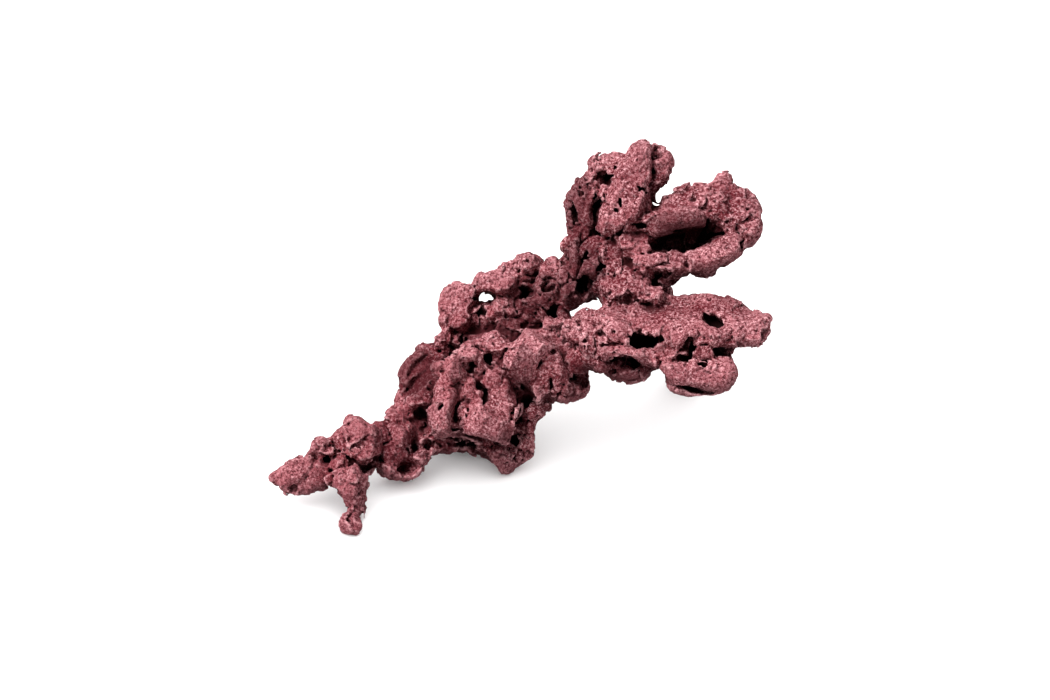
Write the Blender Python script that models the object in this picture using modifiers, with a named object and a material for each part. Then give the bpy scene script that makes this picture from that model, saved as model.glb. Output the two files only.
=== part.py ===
"""A branching piece of dry reef rock, about 0.4 m long, resting on two feet, a heel and its belly's corner.

The rock is modelled in a leaning frame, the plane in which its branches spread: right along the rock,
up along the lean, and away from the viewer. The frame widens with depth like the view of an eye that
stands VIEWER millimetres off. Every branch is a heap of boulders fused by a voxel remesh,
roughened by procedural textures, carved by hollows and then faceted. Last, the heaps are turned upright,
parted at the forks and cut level where the rock rests. Sizes in the tables are millimetres.
"""

import math
from collections import namedtuple

import bmesh
import bpy
from mathutils import Matrix, Vector

MM = 0.001
LEAN = math.radians(30)
VIEWER = 1980
TRUE_DEPTH = 80
MIDDLE_RIGHT = 4
MIDDLE_UP = 146

VOXEL = 2.6
FINE_VOXEL = 1.4
SMOOTHING_ROUNDS = 3
SWELL_SCALE = 30
SWELL_HEIGHT = 9
CRAG_SCALE = 13
CRAG_HEIGHT = 5

FORK_GAP = 0.4
BRANCH_BLOCK = 400
FLOOR_BLOCK = 900
FLOOR_BLOCK_DEPTH = 120

Lump = namedtuple("Lump", "right up away wide tall deep roll lean", defaults=(0, 0))
Fork = namedtuple("Fork", "right up away to_right to_up to_away reach")

LEVEL = 30

# The lumps that two branches share, so that both have the same skin where they part.
TAIL_ROOT = Lump(-151, 57, 44, 26, 30, 28)
LEG_ROOT = Lump(-133, 53, 42, 29, 26, 28)
RIDGE_ROOT = Lump(20, 190, 104, 46, 52, 40)
LEFT_CREST_ROOT = Lump(72, 226, 98, 62, 44, 44)
RIGHT_CREST_ROOT = Lump(102, 222, 94, 46, 46, 46)
SHELF_ROOT = Lump(92, 188, 84, 56, 34, 48)
REAR_LEG_ROOT = Lump(98, 196, 112, 40, 38, 38)

TRUNK_BOULDERS = [
    Lump(-131, 68, 48, 38, 38, 40),
    Lump(-133, 85, 50, 22, 20, 22),
    Lump(-118, 77, 56, 26, 22, 32),
    Lump(-143, 76, 47, 14, 14, 16),
    Lump(-141, 56, 42, 18, 18, 22),
    Lump(-146, 46, 44, 16, 18, 22),
    Lump(-106, 60, 66, 24, 38, 34),
    Lump(-90, 66, 70, 30, 44, 36),
    Lump(-95, 53, 66, 33, 22, 26),
    Lump(-71, 67, 78, 14, 12, 22),
    Lump(-80, 76, 80, 24, 26, 32),
    Lump(-110, 80, 66, 20, 18, 26),
    Lump(-99, 91, 78, 22, 18, 32),
    Lump(-90, 104, 84, 18, 22, 30),
    Lump(-78, 131, 98, 58, 28, 28, 55),
    Lump(-88, 120, 98, 22, 28, 26),
    Lump(-60, 150, 100, 22, 15, 24),
    Lump(-56, 142, 110, 36, 36, 32),
    Lump(-70, 106, 90, 52, 42, 46),
    Lump(-35, 108, 78, 82, 64, 56),
    Lump(-58, 94, 66, 34, 28, 36),
    Lump(-50, 76, 92, 44, 26, 38),
    Lump(-28, 71, 86, 26, 24, 32),
    Lump(-59, 124, 72, 20, 30, 30),
    Lump(-30, 142, 78, 44, 30, 34),
    Lump(-45, 96, 112, 70, 46, 50),
    Lump(-52, 92, 130, 36, 32, 40),
    Lump(-20, 148, 106, 80, 30, 40),
    Lump(20, 160, 100, 58, 40, 44),
    Lump(43, 202, 100, 44, 42, 40),
    Lump(70, 206, 96, 54, 44, 44),
    Lump(30, 212, 102, 32, 26, 26),
    Lump(38, 123, 72, 38, 37, 36),
    Lump(36, 143, 78, 16, 18, 24),
    Lump(47, 124, 74, 19, 30, 28),
    Lump(6, 119, 90, 52, 46, 40),
]
TRUNK_BLOCKS = [
    Lump(-22, 92, 54, 36, 30, 26, -20, 20),
    Lump(-57, 92, 58, 26, 30, 24, 15, 10),
    Lump(-62, 128, 64, 15, 22, 20, 20, 15),
    Lump(-40, 138, 62, 22, 26, 20, 35, 10),
    Lump(-20, 150, 74, 20, 20, 22, 40, 15),
    Lump(-10, 68, 84, 32, 32, 28, 40),
    Lump(0, 86, 88, 22, 24, 28),
    Lump(12, 100, 84, 22, 10, 26, 10),
    Lump(7, 137, 60, 34, 42, 30, -38, 15),
    Lump(14, 122, 62, 24, 26, 28, 25, 15),
]
TAIL_BOULDERS = [
    Lump(-174, 46, 37, 46, 26, 20),
    Lump(-194, 41, 34, 22, 10, 9, -10),
    Lump(-187, 47, 35, 14, 20, 13),
    Lump(-184, 34, 34, 18, 9, 11),
    Lump(-161, 43, 39, 26, 21, 22),
    Lump(-174, 58, 38, 14, 14, 13),
    Lump(-168, 62, 40, 9, 7, 10),
    Lump(-150, 46, 42, 14, 16, 20),
    Lump(-157, 69, 42, 20, 16, 18, 25),
    Lump(-151, 73, 44, 12, 8, 14),
]
FRONT_LEG_BOULDERS = [
    Lump(-135, 7, 14, 25, 21, 24),
    Lump(-131, 22, 22, 18, 26, 20),
    Lump(-134, 39, 31, 27, 26, 28),
]
RIDGE_BOULDERS = [
    Lump(-8, 205, 106, 58, 24, 26, 20),
    Lump(-27, 202, 106, 20, 16, 22),
    Lump(6, 214, 106, 24, 18, 22),
    Lump(14, 203, 104, 20, 24, 24),
    Lump(-50, 185, 106, 32, 32, 30),
    Lump(-47, 170, 106, 34, 22, 26),
    Lump(-14, 173, 106, 78, 30, 34),
    Lump(8, 188, 106, 34, 36, 28),
]
LEFT_CREST_BOULDERS = [
    Lump(38, 227, 102, 14, 12, 18),
    Lump(47, 230, 98, 15, 28, 22),
    Lump(50, 256, 100, 29, 40, 30),
    Lump(43, 262, 98, 18, 22, 22),
    Lump(52, 279, 102, 16, 16, 22),
    Lump(71, 291, 104, 36, 26, 28),
    Lump(60, 238, 100, 34, 40, 34),
    Lump(85, 258, 92, 50, 74, 38),
    Lump(66, 268, 112, 40, 46, 22),
    Lump(100, 294, 96, 34, 44, 26),
    Lump(111, 291, 98, 23, 38, 24),
]
RIGHT_CREST_BOULDERS = [
    Lump(148, 259, 102, 82, 36, 46),
    Lump(124, 257, 98, 40, 32, 38),
    Lump(162, 282, 102, 18, 18, 20),
    Lump(176, 250, 100, 32, 49, 42),
    Lump(184, 241, 96, 21, 28, 30),
    Lump(139, 271, 100, 34, 13, 26),
    Lump(118, 250, 84, 56, 17, 30),
    Lump(122, 216, 90, 80, 20, 46, 3, 15),
    Lump(155, 224, 90, 61, 22, 42, 20, 12),
    Lump(140, 210, 88, 34, 13, 24),
    Lump(108, 204, 92, 34, 20, 36),
    Lump(130, 238, 112, 96, 54, 26),
]
SHELF_BOULDERS = [
    Lump(116, 168, 64, 156, 23, 62, 0, LEVEL),
    Lump(50, 162, 58, 36, 21, 34, 0, LEVEL),
    Lump(160, 173, 68, 74, 20, 58, -8, LEVEL),
    Lump(189, 165, 60, 28, 21, 40, 0, LEVEL),
    Lump(131, 176, 78, 60, 22, 50, 0, LEVEL),
    Lump(58, 151, 60, 32, 36, 38, -40),
    Lump(66, 135, 64, 18, 20, 32),
    Lump(80, 147, 56, 56, 14, 30),
    Lump(84, 130, 66, 42, 21, 36),
    Lump(107, 141, 64, 30, 26, 34),
    Lump(124, 141, 56, 28, 26, 30),
    Lump(143, 128, 56, 60, 24, 38),
    Lump(139, 116, 58, 45, 14, 32),
    Lump(163, 136, 62, 15, 28, 34),
    Lump(162, 118, 58, 16, 10, 26),
    Lump(176, 156, 62, 30, 13, 34, 0, LEVEL),
    Lump(148, 150, 64, 44, 24, 42),
    Lump(90, 150, 76, 66, 30, 38),
]
REAR_LEG_BOULDERS = [
    Lump(104, 184, 128, 40, 40, 40),
    Lump(113, 171, 142, 30, 34, 38, 20),
    Lump(106, 160, 148, 26, 24, 26),
    Lump(121, 157, 160, 28, 34, 30, -20),
    Lump(128, 148, 168, 22, 22, 34),
    Lump(126, 142, 180, 30, 28, 30, 15),
    Lump(117, 141, 176, 18, 16, 20),
    Lump(133, 133, 192, 27, 26, 34),
    Lump(138, 127, 203, 36, 24, 38),
]

TRUNK_HOLLOWS = [
    Lump(-82, 88, 60, 16, 20, 34, -10),
    Lump(-85, 68, 52, 10, 14, 22),
    Lump(-93, 52, 48, 20, 12, 16),
    Lump(6, 105, 58, 10, 16, 40),
    Lump(50, 197, 76, 14, 18, 34, 20),
    Lump(-28, 108, 42, 5, 16, 34),
    Lump(-38, 133, 50, 6, 9, 26),
    Lump(-6, 156, 72, 14, 12, 44),
    Lump(46, 123, 54, 14, 12, 30),
    Lump(47, 136, 58, 12, 9, 30),
    Lump(24, 136, 44, 14, 5, 30, 40),
    Lump(13, 174, 74, 7, 13, 40),
    Lump(64, 213, 76, 7, 8, 26),
    Lump(-47, 151, 78, 18, 9, 40, 40),
    Lump(32, 155, 70, 5, 12, 30),
]
RIDGE_HOLLOWS = [
    Lump(-26, 188, 106, 17, 8, 60),
    Lump(6, 191, 88, 18, 12, 30),
    Lump(13, 202, 92, 14, 12, 22, 30),
]
LEFT_CREST_HOLLOWS = [
    Lump(62, 254, 82, 6, 40, 34, -8),
    Lump(69, 281, 88, 13, 8, 26, -40),
    Lump(108, 302, 86, 5, 16, 22, -6),
    Lump(106, 290, 86, 5, 10, 22),
]
RIGHT_CREST_HOLLOWS = [
    Lump(124, 231, 74, 84, 13, 62, 5),
    Lump(150, 240, 76, 40, 9, 50),
    Lump(92, 246, 76, 16, 4, 24),
]
SHELF_HOLLOWS = [
    Lump(100, 152, 36, 26, 13, 44),
    Lump(136, 147, 34, 9, 20, 44),
    Lump(131, 139, 34, 14, 7, 36),
    Lump(163, 145, 34, 22, 10, 40, 12),
    Lump(154, 170, 46, 16, 10, 20, -25, LEVEL),
    Lump(84, 137, 44, 38, 10, 34),
    Lump(141, 114, 34, 30, 4, 26, -8),
]

# Where two branches part: a point, the way from the trunk into the branch, and how wide the cut reaches.
TAIL_FORK = Fork(-151, 57, 44, -1, 0, 0, 60)
LEG_FORK = Fork(-132, 50, 38, 0, -0.8, -0.6, 50)
RIDGE_FORK = Fork(20, 199, 104, -1, 0.1, 0, 76)
LEFT_CREST_FORK = Fork(70, 228, 98, -0.2, 1, 0, 108)
RIGHT_CREST_FORK = Fork(104, 220, 94, 1, 0.3, 0, 70)
SHELF_FORK = Fork(90, 188, 76, 0.3, -0.5, -0.8, 90)
REAR_LEG_FORK = Fork(99, 192, 118, 0.15, -0.5, 0.85, 60)
CREST_FORK = Fork(104, 240, 94, 1, -0.35, 0, 60)
RIDGE_SEAT = Fork(-25, 162, 104, 0, 1, 0, 88)

CORALLINE = (0.28, 0.095, 0.105, 1)
TRIANGLES = {
    "trunk": 2500,
    "tail": 700,
    "front_leg": 500,
    "ridge": 1100,
    "left_crest": 1300,
    "right_crest": 1500,
    "shelf": 1500,
    "rear_leg": 500,
}


def clear_scene():
    for obj in list(bpy.data.objects):
        bpy.data.objects.remove(obj)


def make_collection(name, shown):
    """A collection of its own for the rock's pieces or for the tools that cut them."""
    collection = bpy.data.collections.new(name)
    bpy.context.scene.collection.children.link(collection)
    collection.hide_render = not shown
    return collection


def make_material():
    material = bpy.data.materials.new("coralline_crust")
    material.use_nodes = True
    shader = material.node_tree.nodes["Principled BSDF"]
    shader.inputs["Base Color"].default_value = CORALLINE
    shader.inputs["Roughness"].default_value = 0.95
    shader.inputs["Metallic"].default_value = 0
    return material


def spread(away):
    """How much wider the frame is at this depth than at its true depth."""
    return 1 + (away - TRUE_DEPTH) / VIEWER


def place(spot):
    """A lump's or a fork's point in metres, (right, away, up) in the leaning frame."""
    wider = spread(spot.away)
    right = MIDDLE_RIGHT + (spot.right - MIDDLE_RIGHT) * wider
    up = MIDDLE_UP + (spot.up - MIDDLE_UP) * wider
    return Vector((right, spot.away, up)) * MM


def lump_matrix(lump):
    """From a unit ball or cube to the lump's size, turn and place in the leaning frame."""
    lean = Matrix.Rotation(math.radians(lump.lean), 4, "X")
    roll = Matrix.Rotation(-math.radians(lump.roll), 4, "Y")
    wider = spread(lump.away) * MM
    size = Matrix.Diagonal((lump.wide * wider, lump.deep * MM, lump.tall * wider, 1))
    return Matrix.Translation(place(lump)) @ lean @ roll @ size


def heap(name, boulders, blocks, collection):
    """One object that holds every boulder as an ellipsoid and every block as a box, not yet fused."""
    mesh = bmesh.new()
    for boulder in boulders:
        bmesh.ops.create_icosphere(mesh, subdivisions=3, radius=0.5, matrix=lump_matrix(boulder))
    for block in blocks:
        bmesh.ops.create_cube(mesh, size=1, matrix=lump_matrix(block))
    data = bpy.data.meshes.new(name)
    mesh.to_mesh(data)
    mesh.free()
    obj = bpy.data.objects.new(name, data)
    collection.objects.link(obj)
    return obj


def settle(obj):
    """Makes what the modifiers show the object's own mesh, so that the next step can count it."""
    graph = bpy.context.evaluated_depsgraph_get()
    shown = bpy.data.meshes.new_from_object(obj.evaluated_get(graph))
    obj.modifiers.clear()
    obj.data = shown


def fuse(obj, voxel, smoothing_rounds):
    """One closed skin over all of it, with its creases eased. A hollow two voxels wide would be lost."""
    remesh = obj.modifiers.new("fuse", "REMESH")
    remesh.mode = "VOXEL"
    remesh.voxel_size = voxel * MM
    if smoothing_rounds:
        ease = obj.modifiers.new("ease", "SMOOTH")
        ease.iterations = smoothing_rounds
    settle(obj)


def noise(name, scale, depth):
    texture = bpy.data.textures.new(name, "CLOUDS")
    texture.noise_basis = "ORIGINAL_PERLIN"
    texture.noise_scale = scale * MM
    texture.noise_depth = depth
    return texture


def roughen(obj, textures):
    """Swells and crags: each texture pushes the skin out and in along its normals."""
    for texture, height in textures:
        relief = obj.modifiers.new(texture.name, "DISPLACE")
        relief.texture = texture
        relief.texture_coords = "LOCAL"
        relief.strength = height * MM
        relief.mid_level = 0.5
    settle(obj)


def cut(obj, cutter):
    """Takes the cutter's volume out of the object."""
    carve = obj.modifiers.new("cut " + cutter.name, "BOOLEAN")
    carve.operation = "DIFFERENCE"
    carve.solver = "EXACT"
    carve.object = cutter
    settle(obj)


def facet(obj, triangles):
    """Collapses the fine skin to about this many triangles, which keep the main lumps, ledges and hollows."""
    split = obj.modifiers.new("triangles", "TRIANGULATE")
    split.quad_method = "BEAUTY"
    settle(obj)
    collapse = obj.modifiers.new("facet", "DECIMATE")
    collapse.ratio = triangles / len(obj.data.polygons)
    settle(obj)


def block(name, place, size, collection):
    """A box of full size (x, y, z) whose place is a matrix."""
    mesh = bmesh.new()
    bmesh.ops.create_cube(mesh, size=1, matrix=place @ Matrix.Diagonal((*size, 1)))
    data = bpy.data.meshes.new(name)
    mesh.to_mesh(data)
    mesh.free()
    obj = bpy.data.objects.new(name, data)
    obj.display_type = "WIRE"
    obj.hide_render = True
    collection.objects.link(obj)
    return obj


def fork_block(name, fork, on_branch_side, tools):
    """A box that starts half a gap before the fork and takes all beyond it, on one side or the other."""
    way = Vector((fork.to_right, fork.to_away, fork.to_up)).normalized()
    side = way if on_branch_side else -way
    turn = side.to_track_quat("Z", "Y").to_matrix().to_4x4()
    reach = (fork.reach if on_branch_side else BRANCH_BLOCK) * MM
    point = place(fork)
    centre = point + side * (reach - FORK_GAP * MM) / 2
    return block(name, Matrix.Translation(centre) @ turn, (reach, reach, reach), tools)


def make_branch(name, boulders, blocks, hollows, textures, rock, tools):
    """A faceted branch in the leaning frame, carved but not yet parted from its neighbours."""
    obj = heap(name, boulders, blocks, rock)
    fuse(obj, VOXEL, SMOOTHING_ROUNDS)
    roughen(obj, textures)
    fuse(obj, VOXEL, 0)
    if hollows:
        cutter = heap(name + " hollows", hollows, [], tools)
        cutter.display_type = "WIRE"
        cutter.hide_render = True
        fuse(cutter, FINE_VOXEL, 0)
        cut(obj, cutter)
        fuse(obj, FINE_VOXEL, 0)
    facet(obj, TRIANGLES[name])
    return obj


def part_at(fork, trunk, branch, tools):
    """Ends the trunk and the branch on the two sides of a fork, a thin gap apart."""
    cut(trunk, fork_block(branch.name + " side", fork, True, tools))
    cut(branch, fork_block("trunk side of " + branch.name, fork, False, tools))


def stand(pieces, tools):
    """Turns the rock upright, levels its feet at the floor and centres it over the origin."""
    upright = Matrix.Rotation(-LEAN, 4, "X")
    size = FLOOR_BLOCK * MM
    depth = FLOOR_BLOCK_DEPTH * MM
    floor = block("floor", Matrix.Translation((0, 0, -depth / 2)), (size, size, depth), tools)
    for piece in pieces:
        piece.data.transform(upright)
        cut(piece, floor)
    corners = [vertex.co for piece in pieces for vertex in piece.data.vertices]
    middle_x = (min(c.x for c in corners) + max(c.x for c in corners)) / 2
    middle_y = (min(c.y for c in corners) + max(c.y for c in corners)) / 2
    for piece in pieces:
        piece.data.transform(Matrix.Translation((-middle_x, -middle_y, 0)))
    print(f"the leaning frame starts at {-1000 * middle_x:.2f}, {-1000 * middle_y:.2f}, 0 mm")


def main():
    clear_scene()
    rock = make_collection("dry reef rock", True)
    tools = make_collection("cutters", False)
    textures = [
        (noise("swells", SWELL_SCALE, 1), SWELL_HEIGHT),
        (noise("crags", CRAG_SCALE, 2), CRAG_HEIGHT),
    ]
    roots = [
        TAIL_ROOT,
        LEG_ROOT,
        RIDGE_ROOT,
        LEFT_CREST_ROOT,
        RIGHT_CREST_ROOT,
        SHELF_ROOT,
        REAR_LEG_ROOT,
    ]
    trunk = make_branch(
        "trunk", TRUNK_BOULDERS + roots, TRUNK_BLOCKS, TRUNK_HOLLOWS, textures, rock, tools
    )
    branches = [
        ("tail", TAIL_FORK, TAIL_BOULDERS + [TAIL_ROOT], []),
        ("front_leg", LEG_FORK, FRONT_LEG_BOULDERS + [LEG_ROOT], []),
        ("ridge", RIDGE_FORK, RIDGE_BOULDERS + [RIDGE_ROOT], RIDGE_HOLLOWS),
        ("left_crest", LEFT_CREST_FORK, LEFT_CREST_BOULDERS + [LEFT_CREST_ROOT], LEFT_CREST_HOLLOWS),
        (
            "right_crest",
            RIGHT_CREST_FORK,
            RIGHT_CREST_BOULDERS + [RIGHT_CREST_ROOT],
            RIGHT_CREST_HOLLOWS,
        ),
        ("shelf", SHELF_FORK, SHELF_BOULDERS + [SHELF_ROOT], SHELF_HOLLOWS),
        ("rear_leg", REAR_LEG_FORK, REAR_LEG_BOULDERS + [REAR_LEG_ROOT], []),
    ]
    pieces = {"trunk": trunk}
    for name, fork, boulders, hollows in branches:
        pieces[name] = make_branch(name, boulders, [], hollows, textures, rock, tools)
        part_at(fork, trunk, pieces[name], tools)
    part_at(CREST_FORK, pieces["left_crest"], pieces["right_crest"], tools)
    part_at(RIDGE_SEAT, trunk, pieces["ridge"], tools)
    stand(pieces.values(), tools)
    crust = make_material()
    for piece in pieces.values():
        piece.data.materials.clear()
        piece.data.materials.append(crust)


main()
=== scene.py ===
# %% [markdown]
# A branching piece of dry reef rock, dressed.
# The real thing is old coral skeleton: water has opened caves in it, and red coralline algae have crusted
# it. The frame gives eight faceted solids, one for each branch. This lesson turns them into one rough,
# pitted, sandy skin, then parts that skin again at the same forks, so that every branch keeps its own
# piece.

# %% The frame and the tools
import math
from collections import namedtuple
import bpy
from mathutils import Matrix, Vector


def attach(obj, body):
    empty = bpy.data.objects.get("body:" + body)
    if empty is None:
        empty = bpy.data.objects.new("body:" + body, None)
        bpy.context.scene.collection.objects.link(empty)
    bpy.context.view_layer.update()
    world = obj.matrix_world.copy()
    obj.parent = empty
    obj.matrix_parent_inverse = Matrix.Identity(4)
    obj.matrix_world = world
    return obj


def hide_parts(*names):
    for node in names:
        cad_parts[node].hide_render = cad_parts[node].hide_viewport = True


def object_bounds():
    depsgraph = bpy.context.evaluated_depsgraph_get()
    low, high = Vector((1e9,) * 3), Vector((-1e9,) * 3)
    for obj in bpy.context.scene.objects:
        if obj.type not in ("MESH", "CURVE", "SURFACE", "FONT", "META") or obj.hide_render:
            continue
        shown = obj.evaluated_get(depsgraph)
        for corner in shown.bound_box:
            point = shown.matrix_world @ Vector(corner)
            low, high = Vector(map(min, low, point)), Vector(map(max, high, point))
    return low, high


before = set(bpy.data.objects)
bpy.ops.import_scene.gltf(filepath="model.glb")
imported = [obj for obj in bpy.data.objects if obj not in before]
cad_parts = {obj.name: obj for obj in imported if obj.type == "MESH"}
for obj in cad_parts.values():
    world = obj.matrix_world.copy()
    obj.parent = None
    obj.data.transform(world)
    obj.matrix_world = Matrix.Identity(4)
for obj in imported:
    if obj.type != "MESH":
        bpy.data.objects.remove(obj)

from concurrent.futures import ThreadPoolExecutor

import bpy
import numpy as np
import openvdb as vdb
from mathutils import Vector

MM = 0.001
cad_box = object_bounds()
print("branches:", ", ".join(sorted(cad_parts)))
print("box of the solids in mm:", [[round(1000 * v) for v in corner] for corner in cad_box])

# %% [markdown]
# The rock leans away from the eye, and its branches spread in the leaning plane. So a spot on it is
# easiest to name the way it is seen: how far right, how far up, and how deep. The camera stands where all
# those sight lines meet, 1.98 m from the rock, looking down at 30 degrees through a long 85 mm lens.

# %% Naming a spot by its sight line
LEAN = math.radians(30)
LEAN_START = (-2.3, -130.5, 0)
EYE_DISTANCE = 1980
TRUE_DEPTH = 80
MIDDLE_RIGHT = 4
MIDDLE_UP = 146
RIGHTWARD = np.array([1, 0, 0])
UPWARD = np.array([0, math.sin(LEAN), math.cos(LEAN)])
AWAYWARD = np.array([0, math.cos(LEAN), -math.sin(LEAN)])


def spot(right, up, away):
    """A point in millimetres: each axis times its distance, the first two widened in step with depth."""
    wider = 1 + (away - TRUE_DEPTH) / EYE_DISTANCE
    right = MIDDLE_RIGHT + (right - MIDDLE_RIGHT) * wider
    up = MIDDLE_UP + (up - MIDDLE_UP) * wider
    return LEAN_START + right * RIGHTWARD + up * UPWARD + away * AWAYWARD


# %% The camera
LENS = 85
camera_data = bpy.data.cameras.new("camera")
camera_data.lens = LENS
camera_data.sensor_width = 36
camera = bpy.data.objects.new("camera", camera_data)
bpy.context.scene.collection.objects.link(camera)
camera.location = Vector(spot(0, 0, TRUE_DEPTH - EYE_DISTANCE) * MM)
camera.rotation_euler = (math.pi / 2 - LEAN, 0, 0)
bpy.context.scene.camera = camera
print("the camera stands at", [round(v, 3) for v in camera.location])

# %% [markdown]
# A rock with caves can't be a sheet over a grid of two parameters: the skin folds under itself. So the
# shape is held as a distance field: an array that says, for each small cube of space, how far it is from
# the skin, negative inside. Adding to the field moves the skin, and taking the larger of two fields cuts
# one from the other.

# %% From the faceted solids to one distance field
VOXEL = 1.08
BAND = 9
grid_scale = vdb.createLinearTransform(voxelSize=VOXEL)


def triangles_of(obj):
    """A node's corners in millimetres and its triangles as rows of corner numbers."""
    mesh = obj.data
    mesh.calc_loop_triangles()
    corners = np.empty(len(mesh.vertices) * 3, np.float32)
    mesh.vertices.foreach_get("co", corners)
    faces = np.empty(len(mesh.loop_triangles) * 3, np.int32)
    mesh.loop_triangles.foreach_get("vertices", faces)
    return corners.reshape(-1, 3) / MM, faces.reshape(-1, 3).astype(np.uint32)


node_triangles = {name: triangles_of(node) for name, node in sorted(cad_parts.items())}
starts = np.cumsum([0] + [len(corners) for corners, _ in node_triangles.values()])
all_corners = np.concatenate([corners for corners, _ in node_triangles.values()])
all_faces = np.concatenate([f + s for (_, f), s in zip(node_triangles.values(), starts)])
rough = vdb.FloatGrid.createLevelSetFromPolygons(
    all_corners, triangles=all_faces.astype(np.uint32), transform=grid_scale, halfWidth=3
)
outer_corners, outer_quads = rough.convertToQuads(0.0)
solid = vdb.FloatGrid.createLevelSetFromPolygons(
    outer_corners, quads=outer_quads, transform=grid_scale, halfWidth=BAND
)
low, high = (np.array(corner) for corner in solid.evalActiveVoxelBoundingBox())
field = np.empty(high - low + 1, np.float32)
solid.copyToArray(field, ijk=tuple(low))
print("the field has", field.shape, "cubes of", VOXEL, "mm")

# %% Easing the facets
FACET_EASE = 1.5


def blurred(values, spread):
    """Each axis in turn: the mean of the neighbours, weighted by exp(-(steps / spread) squared / 2)."""
    reach = int(math.ceil(2 * spread))
    weights = np.exp(-0.5 * (np.arange(-reach, reach + 1) / spread) ** 2)
    weights = (weights / weights.sum()).astype(np.float32)
    for axis in range(3):
        padding = [(reach, reach) if a == axis else (0, 0) for a in range(3)]
        padded = np.pad(values, padding, mode="edge")
        length = values.shape[axis]
        values = np.zeros_like(values)
        for step, weight in enumerate(weights):
            window = [slice(step, step + length) if a == axis else slice(None) for a in range(3)]
            values += weight * padded[tuple(window)]
    return values


field = blurred(field, FACET_EASE / VOXEL)
print("cubes inside the rock:", int((field < 0).sum()))

# %% [markdown]
# Roughness comes from noise: smooth hills with no pattern, made by giving each corner of a lattice a
# random slope and blending the slopes. Cells are its partner: each lattice cube holds one random point,
# and what counts is the nearest point. Noise makes lumps and grain, and cells make pits and broken
# facets.

# %% Noise and cells
random = np.random.default_rng(11)
TABLE = 32
slopes = random.normal(size=(TABLE**3, 3))
slopes = (slopes / np.linalg.norm(slopes, axis=1, keepdims=True)).astype(np.float32)
nuclei = random.uniform(0.1, 0.9, size=(TABLE**3, 3)).astype(np.float32)
chances = random.uniform(size=(TABLE**3, 2)).astype(np.float32)


def table_row(x, y, z):
    """The random table's row for each lattice corner; the table repeats every TABLE corners."""
    return ((x % TABLE) * TABLE + y % TABLE) * TABLE + z % TABLE


def noise(points, size, seed):
    """The sum, over the eight corners of a cube, of (slope . way from the corner) times eased shares."""
    lattice = points / np.float32(size) + np.float32(7.37 * seed)
    corner = np.floor(lattice).astype(np.int32)
    inside = lattice - corner
    share = inside * inside * inside * (inside * (inside * 6 - 15) + 10)
    total = np.zeros(len(points), np.float32)
    for step in np.ndindex(2, 2, 2):
        row = table_row(*(corner[:, a] + step[a] for a in range(3)))
        height = np.einsum("ij,ij->i", slopes[row], inside - np.array(step, np.float32))
        for a in range(3):
            height *= share[:, a] if step[a] else 1 - share[:, a]
        total += height
    return total


def cells(points, size, seed):
    """The way to the nearest nucleus, its distance, the second's, all in cell sizes, and its row."""
    lattice = points / np.float32(size) + np.float32(5.19 * seed)
    corner = np.floor(lattice).astype(np.int32)
    nearest = np.full(len(points), 9, np.float32)
    second = nearest.copy()
    way = np.zeros_like(lattice)
    owner = np.zeros(len(points), np.int32)
    for step in np.ndindex(3, 3, 3):
        cube = corner + np.array(step, np.int32) - 1
        row = table_row(*cube.T)
        gap = cube + nuclei[row] - lattice
        square = np.einsum("ij,ij->i", gap, gap).astype(np.float32)
        nearer = square < nearest
        second = np.minimum(second, np.maximum(square, nearest))
        nearest = np.minimum(square, nearest)
        way[nearer] = gap[nearer]
        owner[nearer] = row[nearer]
    return way, np.sqrt(nearest), np.sqrt(second), owner


def in_parts(function, *arrays, parts=16):
    """The same as function(*arrays), worked out on all processor cores at once."""
    with ThreadPoolExecutor(4) as pool:
        rows = pool.map(function, *(np.array_split(array, parts) for array in arrays))
        return np.concatenate(list(rows))


# %% [markdown]
# The blocks and caves that give this rock its face come next. Each has an outline, drawn in millimetres
# as seen along the sight lines. A block stands proud of the skin, with sloping sides and a flat front
# that may lean back as it goes up or right, and only where there is rock behind it. A cave goes in along
# the sight line and narrows, and ends halfway through the rock at most. A dish is a wide cave whose walls
# slope like a bowl's. Noise shakes the outlines until they are as ragged as broken coral.

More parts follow.
